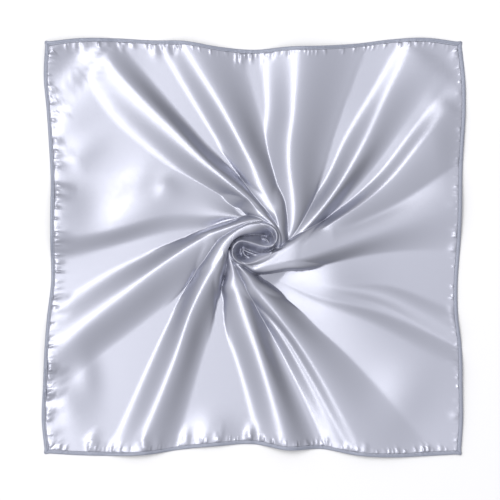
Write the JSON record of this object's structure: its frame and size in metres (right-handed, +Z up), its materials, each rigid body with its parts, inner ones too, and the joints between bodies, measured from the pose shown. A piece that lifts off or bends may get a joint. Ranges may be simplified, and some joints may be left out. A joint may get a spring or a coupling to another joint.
{
  "type": "square scarf",
  "caption": "Square satin scarf laid flat, its middle twisted into a swirl with soft folds running out to a narrow turned hem.",
  "frame": {"origin": "on the table, under the middle of the laid scarf's outline", "axes": "+Z up from the table, +Y towards the hem at the top of the picture, +X towards the hem at its right"},
  "size_m": [0.89, 0.8807, 0.0422],
  "materials": {
    "satin": "glossy silver-grey satin weave",
    "hem_satin": "silver-grey satin, turned twice and machine stitched"
  },
  "bodies": {
    "root": {"panel": "satin", "centre_swirl": "satin", "hem_top": "hem_satin", "hem_right": "hem_satin", "hem_bottom": "hem_satin", "hem_left": "hem_satin"}
  },
  "joints": []
}
